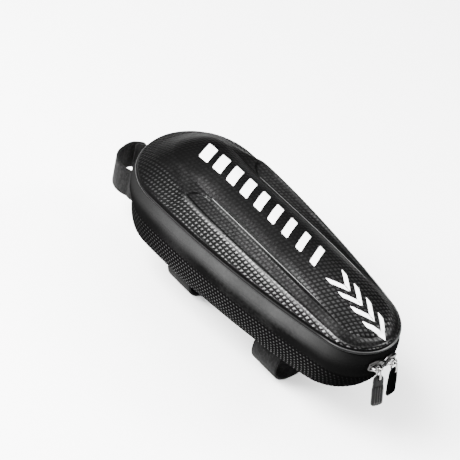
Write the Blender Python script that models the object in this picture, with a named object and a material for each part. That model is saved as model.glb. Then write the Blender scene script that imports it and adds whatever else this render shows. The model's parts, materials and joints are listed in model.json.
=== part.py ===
"""A hard-shell bicycle bag that sits on the top tube, just behind the stem.

Metres, +Z up. X runs from the stem (-X) to the saddle (+X) and Y to the bicycle's right.
The origin is on the flat underside, over the middle of the top tube that carries the bag.
The stations of the tables run from 0 at the front of the outline to 1 at its rear.
"""

import math

import bmesh
import bpy
from mathutils import Matrix, Vector

# Outline of the bag seen from above: an egg of four arcs
LENGTH = 0.235
FRONT_RADIUS = 0.0464
REAR_RADIUS = 0.0310
SIDE_RADIUS = 0.709

# Heights, from the underside up
BASE_DEPTH = 0.0242
BAND_DEPTH = 0.0219
PIPING_RADIUS = 0.0011
LID_RISE = 0.0235

# Walls and the clearance between neighbours
LID_WALL = 0.0025
BASE_WALL = 0.0022
BAND_WALL = 0.0014
GAP = 0.0003

# Upright lip at the lid's edge
LIP_HEIGHT = 0.0013
LIP_DRAFT = 0.0003

# How far the foot of the base is drawn in, and how far the band bulges out
FRONT_DRAFT = 0.0030
SIDE_DRAFT = 0.0042
REAR_DRAFT = 0.0130
BAND_BULGE = 0.0032

# Lid relief: depth of the strip between the crease and the raised line, and the line itself
STRIP_DEPTH = 0.0014
LINE_RISE = 0.0006

# The tubes that the straps hold, and the straps
TOP_TUBE_RADIUS = 0.0195
HEAD_TUBE_RADIUS = 0.0150
STRAP_WIDTH = 0.025
STRAP_THICKNESS = 0.0020
MID_STRAP_X = -0.0525
REAR_STRAP_X = 0.0415
FRONT_STRAP_HEIGHT = 0.0025
KEEPER_WIDTH = 0.018
KEEPER_THICKNESS = 0.0012
KEEPER_FOOT = 0.0055

# Round a strap's loop, in degrees: its two ends, the side that faces the bag, how far the strap
# leaves the tube to lie flat there, where its end starts to lap over, and the blend of both
STRAP_ENDS = (-60, 325)
STRAP_STEP = 7
SEAT_ANGLE = 90
SEAT_REACH = 62
LAP_ANGLE = 262
BLEND_ANGLE = 34

# Zip sliders and their pulls; angles are degrees, round the rear arc and out from the band
ZIP_DROP = 0.0085
SLIDER_ANGLES = {"near": -15.5, "far": 4.5}
SLIDER_LENGTH = 0.0112
SLIDER_HEIGHT = 0.0084
SLIDER_THICKNESS = 0.0024
BRIDGE_REACH = 0.0028
BRIDGE_SPAN = 0.0064
BRIDGE_RADIUS = 0.0008
RING_RADIUS = 0.00065
RING_TOP = 0.0017
RING_FOOT = 0.0022
RING_DROP = 0.0042
PULL_LEANS = {"near": 20, "far": 11}
TAB_LENGTH = 0.0225
TAB_WIDTH = 0.0088
TAB_THICKNESS = 0.0022
TAB_EYE_RADIUS = 0.00125
TAB_RIM = 0.0013
EYE_SLACK = 0.0001
TAB_RIBS = 4
RIB_WIDTH = 0.0011
RIB_PITCH = 0.00185
RIB_RISE = 0.0004
RIB_TOP = 0.0080
RIB_FOOT = 0.0022

# Lid crease: station, inset (share of the front radius), height (share of the lid's rise)
CREASE = (
    (0.000, 0.270, 0.362),
    (0.045, 0.254, 0.404),
    (0.080, 0.316, 0.511),
    (0.170, 0.400, 0.596),
    (0.245, 0.323, 0.604),
    (0.290, 0.226, 0.590),
    (0.360, 0.202, 0.549),
    (0.450, 0.191, 0.506),
    (0.615, 0.166, 0.404),
    (0.777, 0.114, 0.277),
    (0.887, 0.060, 0.136),
    (0.960, 0.039, 0.085),
    (1.000, 0.039, 0.085),
)

# Raised line on the lid: station, inset (share of the front radius), height (share of the rise)
LINE = (
    (0.000, 0.473, 0.620),
    (0.080, 0.516, 0.723),
    (0.170, 0.538, 0.745),
    (0.245, 0.527, 0.690),
    (0.290, 0.523, 0.621),
    (0.360, 0.512, 0.587),
    (0.450, 0.490, 0.570),
    (0.615, 0.413, 0.536),
    (0.777, 0.305, 0.470),
    (0.849, 0.247, 0.404),
    (0.917, 0.194, 0.289),
    (1.000, 0.151, 0.179),
)

# Middle of the lid: station, height (share of the rise)
SPINE = (
    (0.200, 0.915),
    (0.310, 0.990),
    (0.480, 0.950),
    (0.666, 0.834),
    (0.836, 0.604),
    (0.890, 0.489),
    (0.930, 0.390),
)

# Where the strip beside the raised line is sunk: station, share of STRIP_DEPTH
STRIP = (
    (0.000, 0.0),
    (0.272, 0.0),
    (0.296, 1.0),
    (0.700, 1.0),
    (0.900, 0.0),
    (1.000, 0.0),
)

# Swell of the lid's flank between its lip and the crease: shares of the crease's inset and height
FLANK = (0.50, 0.60)

# How much of the wall's thickness the lid's inner side is set in at the crease
INNER_LEAN = 0.8

# Across the lid from the crease to the line: share of the way, share of the strip's depth
STRIP_SECTION = ((0.00, 0.0), (0.10, 0.0), (0.26, 1.0), (0.82, 1.0), (0.94, 0.0))

# From the line to the middle of the lid: share of the way, share of the climb
CROWN_SECTION = ((0.20, 0.40), (0.43, 0.70), (0.72, 0.93))

# Wall of the base: share of its depth below the band, share of the draft
BASE_SECTION = (
    (0.00, 0.00),
    (0.30, 0.12),
    (0.60, 0.38),
    (0.80, 0.66),
    (0.92, 0.90),
    (0.98, 1.14),
    (1.00, 1.45),
)

# Band: share of its depth below the top, share of its bulge
BAND_SECTION = ((0.00, 0.10), (0.14, 0.60), (0.40, 1.00), (0.70, 0.88), (0.92, 0.42), (1.00, 0.12))

# Bulge of the band around the bag: station, share of BAND_BULGE
BULGE = ((0.000, 1.00), (0.150, 0.85), (0.400, 0.62), (0.800, 0.62), (1.000, 0.72))

# Outline of a slider's plate, from the middle: shares of half its length and of half its height
SLIDER_SHAPE = (
    (-1.00, -0.62),
    (-0.62, -1.00),
    (0.20, -1.00),
    (1.00, -0.62),
    (1.00, 0.62),
    (0.20, 1.00),
    (-0.62, 1.00),
    (-1.00, 0.62),
)

# Bend of a slider's bridge at its corners, in bridge radii, and the rim bevels, in thicknesses
BRIDGE_BEND = 1.5
RIM_BEVEL = 1 / 6

# Neck of a pull tab, as a share of its half width, and its outline from the top down:
# share of the neck across, depth in necks
TAB_NECK = 0.62
TAB_NECK_SHAPE = ((0.6, 0.0), (1.0, 0.3), (1.0, 1.7))
TAB_SHOULDER = 2.6

# Foot of a pull tab: share of the half width across, height in half widths
TAB_FOOT_SHAPE = ((1.0, 0.35), (0.9, 0.10), (0.65, 0.0))

# Steps along the outline's arcs and the pull ring, and sides of round sections
FRONT_STEPS = 9
SIDE_STEPS = 22
REAR_STEPS = 8
RING_TOP_STEPS = 8
RING_FOOT_STEPS = 10
PIPING_SIDES = 6
ROD_SIDES = 8
EYE_SIDES = 12

# Edges sharper than this many degrees stay sharp: most pieces, round rods, folded webbing
SHARP = 40
SHARP_ROUND = 80
SHARP_FOLD = 30

# Vertices closer than this are one
MERGE = 1e-6

BAND_BOTTOM = BASE_DEPTH + GAP
BAND_TOP = BAND_BOTTOM + BAND_DEPTH
PIPING_HEIGHT = BAND_TOP + GAP + PIPING_RADIUS
SEAM_HEIGHT = PIPING_HEIGHT + PIPING_RADIUS + GAP


def clear_scene():
    """Remove every object, so that the script starts from nothing."""
    for old in list(bpy.data.objects):
        bpy.data.objects.remove(old, do_unlink=True)


def material(name, colour, roughness, metallic=0.0):
    """A Principled material of one colour."""
    mat = bpy.data.materials.new(name)
    mat.use_nodes = True
    shader = mat.node_tree.nodes["Principled BSDF"]
    shader.inputs["Base Color"].default_value = (*colour, 1.0)
    shader.inputs["Roughness"].default_value = roughness
    shader.inputs["Metallic"].default_value = metallic
    mat.diffuse_color = (*colour, 1.0)
    return mat


def read(table, station, column=1):
    """A table's value at a station, eased between its rows without overshoot."""
    rows = [(row[0], row[column]) for row in table]
    if station <= rows[0][0]:
        return rows[0][1]
    if station >= rows[-1][0]:
        return rows[-1][1]
    slopes = [(b[1] - a[1]) / (b[0] - a[0]) for a, b in zip(rows, rows[1:])]
    ends = [slopes[0]]
    for before, after in zip(slopes, slopes[1:]):
        ends.append(0.0 if before * after <= 0.0 else 2.0 * before * after / (before + after))
    ends.append(slopes[-1])
    i = next(k for k in range(len(slopes)) if station <= rows[k + 1][0])
    width = rows[i + 1][0] - rows[i][0]
    t = (station - rows[i][0]) / width
    low = (1 + 2 * t) * (1 - t) ** 2 * rows[i][1] + t * t * (3 - 2 * t) * rows[i + 1][1]
    return low + width * (t * (1 - t) ** 2 * ends[i] - t * t * (1 - t) * ends[i + 1])


def outline():
    """The egg outline, closed: station, point and outward direction of each place on it."""
    front = -LENGTH / 2 + FRONT_RADIUS
    rear = LENGTH / 2 - REAR_RADIUS
    to_front, to_rear = SIDE_RADIUS - FRONT_RADIUS, SIDE_RADIUS - REAR_RADIUS
    across = (to_front ** 2 - to_rear ** 2 + (rear - front) ** 2) / (2 * (rear - front))
    side = Vector((front + across, -math.sqrt(to_front ** 2 - across ** 2)))
    first = math.atan2(-side.y, front - side.x)
    last = math.atan2(-side.y, rear - side.x)
    arcs = (
        (Vector((front, 0.0)), FRONT_RADIUS, math.pi, first, FRONT_STEPS),
        (side, SIDE_RADIUS, first, last, SIDE_STEPS),
        (Vector((rear, 0.0)), REAR_RADIUS, last, 0.0, REAR_STEPS),
    )
    half = []
    for centre, radius, start, end, steps in arcs:
        for i in range(steps):
            angle = start + (end - start) * i / steps
            out = Vector((math.cos(angle), math.sin(angle)))
            half.append((centre + out * radius, out))
    half.append((Vector((LENGTH / 2, 0.0)), Vector((1.0, 0.0))))
    half[0] = (Vector((-LENGTH / 2, 0.0)), Vector((-1.0, 0.0)))
    near = [(p.x / LENGTH + 0.5, Vector((p.x, -p.y)), Vector((n.x, -n.y))) for p, n in half]
    far = [(p.x / LENGTH + 0.5, p, n) for p, n in half[-2:0:-1]]
    return near + far


OUTLINE = outline()


def ring(inset, height):
    """A closed ring of points; inset and height are numbers or functions of the station."""
    points = []
    for station, place, out in OUTLINE:
        step = inset(station) if callable(inset) else inset
        z = height(station) if callable(height) else height
        points.append(Vector((place.x - out.x * step, place.y - out.y * step, z)))
    return points


def mesh_object(name, bm, mat, smooth_angle=SHARP):
    """Turn a bmesh into an object with one material, smooth except at its sharp edges."""
    bmesh.ops.remove_doubles(bm, verts=bm.verts, dist=MERGE)
    bmesh.ops.recalc_face_normals(bm, faces=bm.faces)
    mesh = bpy.data.meshes.new(name)
    bm.to_mesh(mesh)
    bm.free()
    mesh.materials.append(mat)
    mesh.shade_smooth()
    mesh.set_sharp_from_angle(angle=math.radians(smooth_angle))
    obj = bpy.data.objects.new(name, mesh)
    bpy.context.scene.collection.objects.link(obj)
    return obj


def loft(rings, closed=False, caps=False):
    """Join rings of equal count into a skin, closed on itself or with a face at each end."""
    bm = bmesh.new()
    rows = [[bm.verts.new(point) for point in points] for points in rings]
    pairs = list(zip(rows, rows[1:]))
    if closed:
        pairs.append((rows[-1], rows[0]))
    for low, high in pairs:
        for i in range(len(low)):
            j = (i + 1) % len(low)
            bm.faces.new((low[i], low[j], high[j], high[i]))
    if caps:
        bm.faces.new(rows[0])
        bm.faces.new(rows[-1])
    return bm


def tube(path, radius, sides, across, closed=False):
    """A round rod along a flat path; across is the normal of the path's plane."""
    rings = []
    for i, point in enumerate(path):
        before = path[i - 1] if closed or i else point
        after = path[(i + 1) % len(path)] if closed or i + 1 < len(path) else point
        side = (after - before).normalized().cross(across)
        turns = (2 * math.pi * k / sides for k in range(sides))
        rings.append([point + radius * (math.cos(a) * side + math.sin(a) * across) for a in turns])
    return loft(rings, closed=closed, caps=not closed)


def prism(points, depth, bevel=0.0):
    """A flat outline in Y and Z, given depth along X and its rim edges softened."""
    bm = bmesh.new()
    face = bm.faces.new([bm.verts.new((0.0, y, z)) for y, z in points])
    grown = bmesh.ops.extrude_face_region(bm, geom=[face])["geom"]
    moved = [item for item in grown if isinstance(item, bmesh.types.BMVert)]
    bmesh.ops.translate(bm, verts=moved, vec=(depth, 0.0, 0.0))
    if bevel:
        rims = [e for e in bm.edges if abs(e.verts[0].co.x - e.verts[1].co.x) < depth / 2]
        bmesh.ops.bevel(bm, geom=rims, offset=bevel, segments=1, affect="EDGES", profile=0.5)
    return bm


def combine(target, tool, operation):
    """Apply an exact Boolean with a helper object, which is removed afterwards."""
    step = target.modifiers.new(operation.lower(), "BOOLEAN")
    step.operation = operation
    step.solver = "EXACT"
    step.object = tool
    bpy.context.view_layer.update()
    made = bpy.data.meshes.new_from_object(target.evaluated_get(bpy.context.evaluated_depsgraph_get()))
    target.modifiers.clear()
    target.data = made
    bpy.data.objects.remove(tool, do_unlink=True)
    made.set_sharp_from_angle(angle=math.radians(SHARP))


def crease_inset(station):
    """Inset of the lid's crease from the seam."""
    return FRONT_RADIUS * read(CREASE, station, 1)


def crease_height(station):
    """Height of the lid's crease over the seam."""
    return LID_RISE * read(CREASE, station, 2)


def line_inset(station):
    """Inset of the raised line from the seam."""
    return FRONT_RADIUS * read(LINE, station, 1)


def line_height(station):
    """Height of the raised line over the seam."""
    return LID_RISE * read(LINE, station, 2)


def spine_ring(line_points, drop):
    """The middle of the lid, once for each point of the line ring beside it."""
    first, last = SPINE[0][0], SPINE[-1][0]
    points = []
    for point in line_points:
        station = min(max(point.x / LENGTH + 0.5, first), last)
        z = SEAM_HEIGHT + LID_RISE * read(SPINE, station) - drop
        points.append(Vector(((station - 0.5) * LENGTH, 0.0, z)))
    return points


def lid_rings(wall):
    """Rings of the lid from its edge to its middle; a wall above 0 gives its inner side."""
    base = SEAM_HEIGHT

    def seat(station, share, sunk):
        inset = crease_inset(station) * (1 - share) + line_inset(station) * share
        climb = crease_height(station) * (1 - share) + line_height(station) * share
        return inset, climb - sunk * STRIP_DEPTH * read(STRIP, station)

    def lowered(height, step):
        return max(height - wall, step * GAP) if wall else height

    across, up = FLANK
    rings = [
        ring(wall, base),
        ring(wall + LIP_DRAFT, base + lowered(LIP_HEIGHT, 1)),
        ring(
            lambda s: across * crease_inset(s) + wall,
            lambda s: base + lowered(up * crease_height(s), 2),
        ),
    ]
    for share, sunk in STRIP_SECTION:
        side = INNER_LEAN * wall * (1 - share)
        depth, step = (0.0 if wall else sunk), len(rings)
        rings.append(
            ring(
                lambda s: seat(s, share, depth)[0] + side,
                lambda s: base + lowered(seat(s, share, depth)[1], step),
            )
        )
    rise, step = (0.0 if wall else LINE_RISE), len(rings) + 1
    line = ring(line_inset, lambda s: base + lowered(line_height(s) + rise * read(STRIP, s), step))
    rings.append(line)
    middle = spine_ring(line, wall)
    for share, climb in CROWN_SECTION:
        rings.append(
            [
                Vector((a.x + (b.x - a.x) * share, a.y * (1 - share), a.z + (b.z - a.z) * climb))
                for a, b in zip(line, middle)
            ]
        )
    rings.append(middle)
    return rings


def make_lid(mat):
    """The moulded lid: one shell with a crease, a sunk strip and a crowned middle."""
    inner = lid_rings(LID_WALL)
    return mesh_object("lid_shell", loft(inner[::-1] + lid_rings(0.0)), mat)


def make_piping(mat):
    """The round bead that runs between the lid and the band."""
    rings = []
    for i in range(PIPING_SIDES):
        turn = 2 * math.pi * i / PIPING_SIDES
        out, up = PIPING_RADIUS * math.cos(turn), PIPING_RADIUS * math.sin(turn)
        rings.append(ring(-out, PIPING_HEIGHT + up))
    return mesh_object("piping", loft(rings, closed=True), mat, SHARP_ROUND)


def band_out(station, depth):
    """How far the band stands out from the seam outline at a share of its depth."""
    return BAND_BULGE * read(BULGE, station) * read(BAND_SECTION, depth)


def make_band(mat):
    """The soft band that carries the zip, a wall all round the bag."""
    rings = []
    for depth, _ in BAND_SECTION:
        rings.append(ring(lambda s, d=depth: -band_out(s, d), BAND_TOP - depth * BAND_DEPTH))
    for depth, _ in reversed(BAND_SECTION):
        rings.append(ring(lambda s, d=depth: BAND_WALL - band_out(s, d), BAND_TOP - depth * BAND_DEPTH))
    return mesh_object("zip_band", loft(rings, closed=True), mat)


def drawn_in(inset, share, height):
    """A ring of the base: the outline inset by a wall and drawn in by a share of the draft."""
    front, side, rear = FRONT_DRAFT * share, SIDE_DRAFT * share, REAR_DRAFT * share
    half = max(place.y for _, place, _ in OUTLINE)
    points = []
    for point in ring(inset, height):
        along = point.x / LENGTH + 0.5
        x = -LENGTH / 2 + front + along * (LENGTH - front - rear)
        points.append(Vector((x, point.y * (1 - side / half), height)))
    return points


def make_base(mat):
    """The moulded tray under the band, with a rounded foot and a flat underside."""
    outer = [drawn_in(0.0, share, BASE_DEPTH * (1 - drop)) for drop, share in BASE_SECTION]
    inner = []
    for drop, share in BASE_SECTION:
        height = BASE_WALL + (BASE_DEPTH - BASE_WALL) * (1 - drop)
        inner.append(drawn_in(BASE_WALL, share, height if drop else BASE_DEPTH))
    return mesh_object("base_shell", loft(inner[::-1] + outer, caps=True), mat)


def strap_path(tube_radius, seat):
    """A hook-and-loop strap seen along its tube: a loop that overlaps itself.

    The second axis points at the bag, and seat is the height of the flat run at the bag.
    """
    first, last = STRAP_ENDS
    lean = tube_radius + GAP + STRAP_THICKNESS / 2
    path = []
    for angle in range(first, last + 1, STRAP_STEP):
        off = abs(angle - SEAT_ANGLE)
        blend = min(max((SEAT_REACH - off) / BLEND_ANGLE, 0.0), 1.0)
        blend = blend * blend * (3 - 2 * blend)
        lift = min(max((angle - LAP_ANGLE) / BLEND_ANGLE, 0.0), 1.0)
        radius = lean + lift * (STRAP_THICKNESS + GAP)
        if blend:
            flat = seat / math.cos(math.radians(off))
            radius += (flat - radius) * blend
        turn = math.radians(angle)
        path.append((radius * math.cos(turn), radius * math.sin(turn)))
    return path


def strap(name, path, place, mat):
    """Sweep the strap's flat section along its path; place maps path and width to the bag."""
    rings = []
    for i, point in enumerate(path):
        before = path[max(i - 1, 0)]
        after = path[min(i + 1, len(path) - 1)]
        along = Vector((after[0] - before[0], after[1] - before[1])).normalized()
        out = Vector((along.y, -along.x)) * STRAP_THICKNESS / 2
        half = STRAP_WIDTH / 2
        corners = ((-1, -half), (-1, half), (1, half), (1, -half))
        rings.append([place(point[0] + out.x * s, point[1] + out.y * s, w) for s, w in corners])
    return mesh_object(name, loft(rings, caps=True), mat)


def make_tube_strap(name, x, mat):
    """A strap round the top tube, held to the underside by its keeper."""
    seat = TOP_TUBE_RADIUS + GAP + KEEPER_THICKNESS + GAP + STRAP_THICKNESS / 2
    centre = -(GAP + STRAP_THICKNESS / 2 + seat)
    path = strap_path(TOP_TUBE_RADIUS, seat)
    return strap(name, path, lambda u, v, w: Vector((x + w, u, centre + v)), mat)


def make_keeper(name, x, mat):
    """A short webbing bridge on the underside that a strap passes through."""
    inner = STRAP_WIDTH / 2 + 2 * GAP
    outer = inner + KEEPER_FOOT
    roof = -(2 * GAP + STRAP_THICKNESS)
    floor = roof - KEEPER_THICKNESS
    legs = [(-outer, -GAP), (-outer, floor), (outer, floor), (outer, -GAP)]
    legs += [(inner, -GAP), (inner, roof), (-inner, roof), (-inner, -GAP)]
    bm = prism(legs, KEEPER_WIDTH)
    turned = Matrix(((0, 1, 0, x), (1, 0, 0, -KEEPER_WIDTH / 2), (0, 0, 1, 0), (0, 0, 0, 1)))
    bmesh.ops.transform(bm, matrix=turned, verts=bm.verts)
    return mesh_object(name, bm, mat, SHARP_FOLD)


def make_front_strap(mat):
    """The strap round the head tube, sewn to the front of the base."""
    seat = HEAD_TUBE_RADIUS + GAP + STRAP_THICKNESS / 2
    centre = -LENGTH / 2 - GAP - STRAP_THICKNESS / 2 - seat
    path = strap_path(HEAD_TUBE_RADIUS, seat)
    height = FRONT_STRAP_HEIGHT
    return strap("front_strap", path, lambda u, v, w: Vector((centre + v, u, height + w)), mat)


def slider_frame(angle):
    """Place of a slider on the rear of the band: X out of the bag, Y along the zip, Z up."""
    turn = math.radians(angle)
    zip_share = ZIP_DROP / BAND_DEPTH
    reach = REAR_RADIUS + band_out(1.0, zip_share) + GAP
    x = LENGTH / 2 - REAR_RADIUS + reach * math.cos(turn)
    spot = Vector((x, reach * math.sin(turn), BAND_TOP - ZIP_DROP))
    return Matrix.Translation(spot) @ Matrix.Rotation(turn, 4, "Z")


def make_slider(side, mat):
    """A zip slider: a plate that hugs the zip and a bridge that holds the pull."""
    half, high = SLIDER_LENGTH / 2, SLIDER_HEIGHT / 2
    if side == "near":
        half = -half
    shape = [(along * half, up * high) for along, up in SLIDER_SHAPE]
    plate = prism(shape, SLIDER_THICKNESS, SLIDER_THICKNESS * RIM_BEVEL)
    body = mesh_object(f"slider_{side}", plate, mat)
    root, reach = SLIDER_THICKNESS / 2, SLIDER_THICKNESS + BRIDGE_REACH
    foot, bend = BRIDGE_SPAN / 2, BRIDGE_BEND * BRIDGE_RADIUS
    path = [(root, -foot), (reach - bend, -foot), (reach, bend - foot)]
    path += [(x, -y) for x, y in reversed(path)]
    rod = tube([Vector((x, y, 0.0)) for x, y in path], BRIDGE_RADIUS, ROD_SIDES, Vector((0, 0, 1)))
    combine(body, mesh_object("bridge", rod, mat), "UNION")
    body.matrix_world = slider_frame(SLIDER_ANGLES[side])
    return body


def ring_path():
    """The pull ring seen along the zip: a pear round the bridge, wider where the tab hangs."""
    points = []
    arcs = ((RING_TOP, 0.0, RING_TOP_STEPS), (-RING_FOOT, RING_DROP, RING_FOOT_STEPS))
    for radius, drop, steps in arcs:
        for i in range(steps + 1):
            turn = math.pi * i / steps
            x, z = radius * math.cos(turn), radius * math.sin(turn) - drop
            points.append(Vector((x, 0.0, z)))
    return points


def tab_outline(eye):
    """Outline of the pull tab: a neck round the eye, shoulders and a rounded foot."""
    half = TAB_WIDTH / 2
    neck = TAB_NECK * half
    top = eye + TAB_EYE_RADIUS + TAB_RIM
    foot = top - TAB_LENGTH
    side = [(y * neck, top - drop * neck) for y, drop in TAB_NECK_SHAPE]
    side.append((half, top - TAB_SHOULDER * neck))
    side += [(y * half, foot + rise * half) for y, rise in TAB_FOOT_SHAPE]
    return side + [(-y, z) for y, z in reversed(side)], top, foot


def make_tab(side, mat):
    """The ribbed grip that hangs from the pull ring."""
    eye = EYE_SLACK - RING_DROP - RING_FOOT
    shape, top, foot = tab_outline(eye)
    plate = prism(shape, TAB_THICKNESS, TAB_THICKNESS * RIM_BEVEL)
    bmesh.ops.translate(plate, verts=plate.verts, vec=(-TAB_THICKNESS / 2, 0.0, 0.0))
    tab = mesh_object(f"pull_tab_{side}", plate, mat)
    low, high = foot + RIB_FOOT, top - RIB_TOP
    face = TAB_THICKNESS / 2 + RIB_RISE
    for i in range(TAB_RIBS):
        middle = (i - (TAB_RIBS - 1) / 2) * RIB_PITCH
        left, right = middle - RIB_WIDTH / 2, middle + RIB_WIDTH / 2
        bar = prism([(left, low), (right, low), (right, high), (left, high)], 2 * face, RIB_RISE / 2)
        bmesh.ops.translate(bar, verts=bar.verts, vec=(-face, 0.0, 0.0))
        combine(tab, mesh_object("rib", bar, mat), "UNION")
    drill = [Vector((x, 0.0, eye)) for x in (-TAB_THICKNESS, TAB_THICKNESS)]
    hole = tube(drill, TAB_EYE_RADIUS, EYE_SIDES, Vector((0, 1, 0)))
    combine(tab, mesh_object("eye", hole, mat), "DIFFERENCE")
    return tab


def make_pull(side, metal, rubber):
    """The ring and tab of one slider, hung on an empty at the bridge that they turn about."""
    pivot = bpy.data.objects.new(f"pull_{side}_pivot", None)
    bpy.context.scene.collection.objects.link(pivot)
    bridge = Matrix.Translation((SLIDER_THICKNESS + BRIDGE_REACH, 0.0, 0.0))
    lean = Matrix.Rotation(-math.radians(PULL_LEANS[side]), 4, "Y")
    pivot.matrix_world = slider_frame(SLIDER_ANGLES[side]) @ bridge @ lean
    rod = tube(ring_path(), RING_RADIUS, ROD_SIDES, Vector((0, 1, 0)), closed=True)
    loop = mesh_object(f"pull_ring_{side}", rod, metal, SHARP_ROUND)
    for piece in (loop, make_tab(side, rubber)):
        piece.parent = pivot


def main():
    """Build the bag, piece by piece."""
    clear_scene()
    shell = material("shell", (0.022, 0.022, 0.024), 0.45)
    tray = material("tray", (0.018, 0.018, 0.020), 0.50)
    band = material("band", (0.045, 0.045, 0.048), 0.55)
    trim = material("trim", (0.040, 0.040, 0.043), 0.40)
    webbing = material("webbing", (0.028, 0.028, 0.030), 0.90)
    metal = material("slider_metal", (0.62, 0.62, 0.64), 0.25, 1.0)
    rubber = material("pull_rubber", (0.050, 0.050, 0.053), 0.60)
    make_lid(shell)
    make_piping(trim)
    make_band(band)
    make_base(tray)
    make_front_strap(webbing)
    for name, x in (("mid", MID_STRAP_X), ("rear", REAR_STRAP_X)):
        make_tube_strap(f"{name}_strap", x, webbing)
        make_keeper(f"{name}_keeper", x, webbing)
    for side in SLIDER_ANGLES:
        make_slider(side, metal)
        make_pull(side, metal, rubber)


main()
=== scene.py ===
"""Looks of a hard-shell bicycle bag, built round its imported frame.

The bag sits on the top tube, just behind the stem: a moulded lid over a zip band and a tray, held
by three hook-and-loop straps. Metres, +Z up, -X towards the stem, +Y to the bicycle's right.
"""

import json
import logging
import math
from dataclasses import dataclass
from enum import Enum
from typing import Any, Callable, Sequence, Union

import bmesh
import bpy
from mathutils import Matrix, Vector
from mathutils.bvhtree import BVHTree

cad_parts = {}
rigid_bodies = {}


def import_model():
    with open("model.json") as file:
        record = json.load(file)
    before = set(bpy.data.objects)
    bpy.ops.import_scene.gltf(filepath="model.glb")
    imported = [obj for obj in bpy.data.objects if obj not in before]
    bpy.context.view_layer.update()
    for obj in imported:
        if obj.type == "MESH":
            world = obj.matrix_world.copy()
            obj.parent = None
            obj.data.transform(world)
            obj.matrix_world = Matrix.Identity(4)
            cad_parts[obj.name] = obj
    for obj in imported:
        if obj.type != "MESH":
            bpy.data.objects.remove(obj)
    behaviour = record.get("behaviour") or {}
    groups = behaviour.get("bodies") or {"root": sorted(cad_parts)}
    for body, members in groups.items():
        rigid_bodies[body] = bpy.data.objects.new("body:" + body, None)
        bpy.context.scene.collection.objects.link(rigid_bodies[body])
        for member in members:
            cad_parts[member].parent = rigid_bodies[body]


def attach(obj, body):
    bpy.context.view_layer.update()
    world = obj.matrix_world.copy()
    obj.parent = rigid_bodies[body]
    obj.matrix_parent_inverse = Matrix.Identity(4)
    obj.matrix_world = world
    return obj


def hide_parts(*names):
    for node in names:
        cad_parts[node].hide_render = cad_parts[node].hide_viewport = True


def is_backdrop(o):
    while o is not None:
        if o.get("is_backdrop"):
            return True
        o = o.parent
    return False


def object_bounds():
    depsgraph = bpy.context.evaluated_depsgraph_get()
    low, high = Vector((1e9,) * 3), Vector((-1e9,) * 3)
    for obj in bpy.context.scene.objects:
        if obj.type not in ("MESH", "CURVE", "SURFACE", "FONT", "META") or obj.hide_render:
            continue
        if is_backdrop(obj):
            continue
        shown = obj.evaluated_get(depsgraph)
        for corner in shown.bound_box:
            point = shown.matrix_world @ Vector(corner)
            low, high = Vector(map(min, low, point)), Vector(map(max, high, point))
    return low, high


for leftover in list(bpy.data.objects):
    bpy.data.objects.remove(leftover, do_unlink=True)

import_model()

LOG = logging.getLogger("bicycle_bag")
MM = 0.001
GAP = 0.3 * MM
WELD = 1e-6
DOWN = Vector((0.0, 0.0, -1.0))
CLOTH = "cloth"
RELIEF = "relief"

Number = Union[float, "Wire"]
Profile = list[tuple[Vector, float, float]]
Material = bpy.types.Material
Piece = bpy.types.Object
Mesh = bmesh.types.BMesh


class Side(Enum):
    """The two zip pulls, named by the side of the bag that they end on."""

    NEAR = "near"
    FAR = "far"


class Slot(Enum):
    """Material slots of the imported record."""

    SHELL = "shell"
    TRAY = "tray"
    BAND = "band"
    TRIM = "trim"
    WEBBING = "webbing"
    METAL = "slider_metal"
    RUBBER = "pull_rubber"


def ease(low: float, high: float, value: float) -> float:
    """Smooth step from 0 at low to 1 at high.

    Args:
        low: Where the step starts.
        high: Where it ends; may lie below low for a falling step.
        value: Where to read it.

    Returns:
        A share from 0 to 1.
    """
    share = min(max((value - low) / (high - low), 0.0), 1.0)
    return share * share * (3.0 - 2.0 * share)


def bump(centre: float, half: float, value: float) -> float:
    """A rounded hump of height 1 and half width half round centre."""
    return math.exp(-(((value - centre) / half) ** 2))


class Table:
    """Rows of numbers read by their first column, eased between rows without overshoot."""

    def __init__(self, *rows: Sequence[float]) -> None:
        """Keep the rows and work out each column's slopes.

        Args:
            *rows: A key and its values each, in order of their keys.
        """
        self.keys = [row[0] for row in rows]
        self.columns = [[row[c] for row in rows] for c in range(1, len(rows[0]))]
        self.slopes = [self._slopes(values) for values in self.columns]

    def _slopes(self, values: list[float]) -> list[float]:
        """Slope at each row: the harmonic mean of its neighbours', or level at a turn.

        Args:
            values: One value column.

        Returns:
            Its slopes.
        """
        steps = [
            (values[i + 1] - values[i]) / (self.keys[i + 1] - self.keys[i])
            for i in range(len(values) - 1)
        ]
        inner = [0.0 if a * b <= 0.0 else 2.0 * a * b / (a + b) for a, b in zip(steps, steps[1:])]
        return [steps[0], *inner, steps[-1]]

    def at(self, key: float, column: int = 0) -> float:
        """The value of a column at a key.

        Args:
            key: Where to read the table; outside its rows the end row holds.
            column: Which value column, from 0.

        Returns:
            The eased value.
        """
        keys, values, slopes = self.keys, self.columns[column], self.slopes[column]
        if key <= keys[0]:
            return values[0]
        if key >= keys[-1]:
            return values[-1]
        i = next(k for k in range(len(keys) - 1) if key <= keys[k + 1])
        width = keys[i + 1] - keys[i]
        t = (key - keys[i]) / width
        low = (1 + 2 * t) * (1 - t) ** 2 * values[i] + t * t * (3 - 2 * t) * values[i + 1]
        return low + width * (t * (1 - t) ** 2 * slopes[i] - t * t * (1 - t) * slopes[i + 1])


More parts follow.
